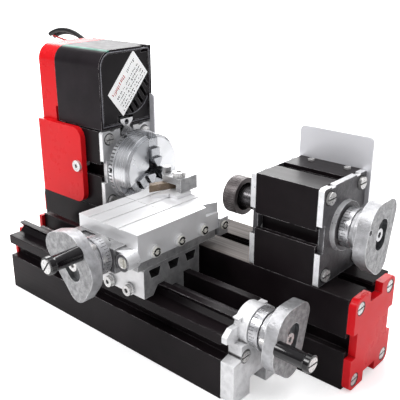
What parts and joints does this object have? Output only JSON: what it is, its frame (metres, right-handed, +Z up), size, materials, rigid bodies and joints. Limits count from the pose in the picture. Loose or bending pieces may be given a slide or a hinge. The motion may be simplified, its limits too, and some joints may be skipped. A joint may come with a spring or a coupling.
{
  "type": "mini metal lathe",
  "caption": "Benchtop mini metal lathe on black aluminium profiles with red end caps and belt cover, three-jaw chuck, tailstock, compound slides and cranked handwheels.",
  "frame": {"origin": "middle of the bed profile in X and Y, on the resting plane", "axes": "+X along the spindle from headstock to tailstock, -Y towards the operator's side, +Z up"},
  "size_m": [0.2731, 0.1391, 0.1533],
  "materials": {
    "bed_extrusion": "black anodised satin",
    "slide_base_extrusion": "black anodised satin",
    "headstock_housing": "black anodised satin",
    "motor_housing": "black anodised satin",
    "tailstock_housing": "black anodised satin",
    "bed_end_caps": "gloss red",
    "slide_base_end_cap": "gloss red",
    "belt_cover": "gloss red",
    "base_screws": "zinc plated",
    "headstock_screws": "zinc plated",
    "tailstock_screws": "zinc plated",
    "saddle_screws": "zinc plated",
    "cross_screws": "zinc plated",
    "long_wheel_screws": "zinc plated",
    "cross_wheel_screws": "zinc plated",
    "tool_bolt": "zinc plated",
    "slide_base_bracket": "cast, fine grain",
    "headstock_plates": "cast, fine grain",
    "tailstock_plates": "cast, fine grain",
    "long_handwheel": "cast, fine grain",
    "cross_handwheel": "cast, fine grain",
    "tail_handwheel": "cast, fine grain",
    "cross_bracket": "cast, fine grain",
    "cross_rear_plate": "cast, fine grain",
    "cross_gib": "cast, fine grain",
    "cross_table": "bright machined",
    "saddle": "bright machined",
    "chuck_body": "bright machined",
    "chuck_ring": "bright machined",
    "long_dial": "bright machined",
    "cross_dial": "bright machined",
    "tail_dial": "bright machined",
    "profile_connectors": "bright machined",
    "tool_post_base": "bright machined",
    "tool_clamp": "bright machined",
    "spindle_bearings": "ground",
    "spindle_shaft": "ground",
    "chuck_jaw_1": "ground",
    "chuck_jaw_2": "ground",
    "chuck_jaw_3": "ground",
    "motor_shaft": "ground",
    "quill": "ground",
    "live_centre": "ground",
    "tail_leadscrew": "ground",
    "long_leadscrew": "ground",
    "cross_leadscrew": "ground",
    "motor_can": "ground",
    "quill_cap": "blackened, knurled",
    "carriage_nuts": "machined",
    "tool_bit": "brown, brazed",
    "headstock_guard": "pale grey satin",
    "tailstock_guard": "pale grey satin",
    "long_handle": "black",
    "cross_handle": "black",
    "motor_side_panel": "black",
    "spindle_pulley": "black",
    "motor_pulley": "black",
    "tailstock_connectors": "black",
    "power_cable": "matt black",
    "drive_belt": "matt black"
  },
  "bodies": {
    "base": {"bed_extrusion": "bed_extrusion", "bed_end_caps": "bed_end_caps", "base_screws": "base_screws", "slide_base_extrusion": "slide_base_extrusion", "slide_base_end_cap": "slide_base_end_cap", "slide_base_bracket": "slide_base_bracket", "profile_connectors": "profile_connectors", "headstock_housing": "headstock_housing", "headstock_plates": "headstock_plates", "headstock_screws": "headstock_screws", "spindle_bearings": "spindle_bearings", "headstock_guard": "headstock_guard", "motor_housing": "motor_housing", "motor_side_panel": "motor_side_panel", "motor_can": "motor_can", "power_cable": "power_cable", "belt_cover": "belt_cover", "drive_belt": "drive_belt"},
    "spindle": {"spindle_shaft": "spindle_shaft", "spindle_pulley": "spindle_pulley", "chuck_body": "chuck_body"},
    "scroll_ring": {"chuck_ring": "chuck_ring"},
    "jaw_a": {"chuck_jaw_1": "chuck_jaw_1"},
    "jaw_b": {"chuck_jaw_2": "chuck_jaw_2"},
    "jaw_c": {"chuck_jaw_3": "chuck_jaw_3"},
    "motor_rotor": {"motor_shaft": "motor_shaft", "motor_pulley": "motor_pulley"},
    "tailstock": {"tailstock_housing": "tailstock_housing", "tailstock_plates": "tailstock_plates", "tailstock_screws": "tailstock_screws", "tailstock_guard": "tailstock_guard", "tailstock_connectors": "tailstock_connectors"},
    "quill_unit": {"quill": "quill", "quill_cap": "quill_cap"},
    "centre": {"live_centre": "live_centre"},
    "tail_wheel": {"tail_leadscrew": "tail_leadscrew", "tail_dial": "tail_dial", "tail_handwheel": "tail_handwheel"},
    "long_wheel": {"long_leadscrew": "long_leadscrew", "long_dial": "long_dial", "long_handwheel": "long_handwheel", "long_wheel_screws": "long_wheel_screws"},
    "long_crank_grip": {"long_handle": "long_handle"},
    "carriage": {"saddle": "saddle", "saddle_screws": "saddle_screws", "carriage_nuts": "carriage_nuts"},
    "cross_slide": {"cross_table": "cross_table", "cross_gib": "cross_gib", "cross_bracket": "cross_bracket", "cross_rear_plate": "cross_rear_plate", "cross_screws": "cross_screws"},
    "cross_wheel": {"cross_leadscrew": "cross_leadscrew", "cross_dial": "cross_dial", "cross_handwheel": "cross_handwheel", "cross_wheel_screws": "cross_wheel_screws"},
    "cross_crank_grip": {"cross_handle": "cross_handle"},
    "tool_post": {"tool_post_base": "tool_post_base", "tool_clamp": "tool_clamp", "tool_bit": "tool_bit", "tool_bolt": "tool_bolt"}
  },
  "joints": [
    {"name": "spindle_turn", "type": "hinge", "parent": "base", "child": "spindle", "pos_m": [-0.07, 0, 0.077], "axis": [1, 0, 0], "continuous": true},
    {"name": "motor_turn", "type": "hinge", "parent": "base", "child": "motor_rotor", "pos_m": [-0.09, 0.001, 0.1245], "axis": [1, 0, 0], "continuous": true},
    {"name": "scroll_turn", "type": "hinge", "parent": "spindle", "child": "scroll_ring", "pos_m": [-0.044, 0, 0.077], "axis": [1, 0, 0], "range_deg": [-90, 630]},
    {"name": "tail_wheel_turn", "type": "hinge", "parent": "tailstock", "child": "tail_wheel", "pos_m": [0.11, 0, 0.077], "axis": [1, 0, 0], "range_deg": [-6120, 2160]},
    {"name": "quill_slide", "type": "slide", "parent": "tailstock", "child": "quill_unit", "axis": [1, 0, 0], "range_m": [-0.017, 0.006]},
    {"name": "tailstock_slide", "type": "slide", "parent": "base", "child": "tailstock", "axis": [1, 0, 0], "range_m": [-0.012, 0.012]},
    {"name": "centre_turn", "type": "hinge", "parent": "quill_unit", "child": "centre", "pos_m": [0.032, 0, 0.077], "axis": [1, 0, 0], "continuous": true},
    {"name": "long_wheel_turn", "type": "hinge", "parent": "base", "child": "long_wheel", "pos_m": [0.095, -0.045, 0.0345], "axis": [1, 0, 0], "range_deg": [-4320, 4320]},
    {"name": "long_grip_turn", "type": "hinge", "parent": "long_wheel", "child": "long_crank_grip", "pos_m": [0.11, -0.05557, 0.03524], "axis": [1, 0, 0], "continuous": true},
    {"name": "carriage_slide", "type": "slide", "parent": "base", "child": "carriage", "axis": [-1, 0, 0], "range_m": [-0.012, 0.012]},
    {"name": "cross_wheel_turn", "type": "hinge", "parent": "cross_slide", "child": "cross_wheel", "pos_m": [0.012, -0.09, 0.0615], "axis": [0, 1, 0], "range_deg": [-4680, 4680]},
    {"name": "cross_grip_turn", "type": "hinge", "parent": "cross_wheel", "child": "cross_crank_grip", "pos_m": [0.01853, -0.105, 0.06985], "axis": [0, 1, 0], "continuous": true},
    {"name": "cross_slide_move", "type": "slide", "parent": "carriage", "child": "cross_slide", "axis": [0, 1, 0], "range_m": [-0.013, 0.013]},
    {"name": "tool_post_swivel", "type": "hinge", "parent": "cross_slide", "child": "tool_post", "pos_m": [0.0056, -0.0149, 0.0745], "axis": [0, 0, 1], "range_deg": [-30, 30]},
    {"name": "jaw_a_slide", "type": "slide", "parent": "spindle", "child": "jaw_a", "axis": [0, 0, 1], "range_m": [-0.00075, 0.00525]},
    {"name": "jaw_b_slide", "type": "slide", "parent": "spindle", "child": "jaw_b", "axis": [0, -0.866, -0.5], "range_m": [-0.00075, 0.00525]},
    {"name": "jaw_c_slide", "type": "slide", "parent": "spindle", "child": "jaw_c", "axis": [0, 0.866, -0.5], "range_m": [-0.00075, 0.00525]}
  ],
  "couplings": [
    {"joint": "spindle_turn", "follows": "motor_turn", "ratio": 0.35294},
    {"joint": "tail_wheel_turn", "follows": "quill_slide", "rad_per_m": 6283.2},
    {"joint": "long_wheel_turn", "follows": "carriage_slide", "rad_per_m": 6283.2},
    {"joint": "cross_wheel_turn", "follows": "cross_slide_move", "rad_per_m": 6283.2},
    {"joint": "scroll_turn", "follows": "jaw_a_slide", "rad_per_m": 2094.4},
    {"joint": "jaw_b_slide", "follows": "jaw_a_slide", "ratio": 1},
    {"joint": "jaw_c_slide", "follows": "jaw_a_slide", "ratio": 1}
  ]
}
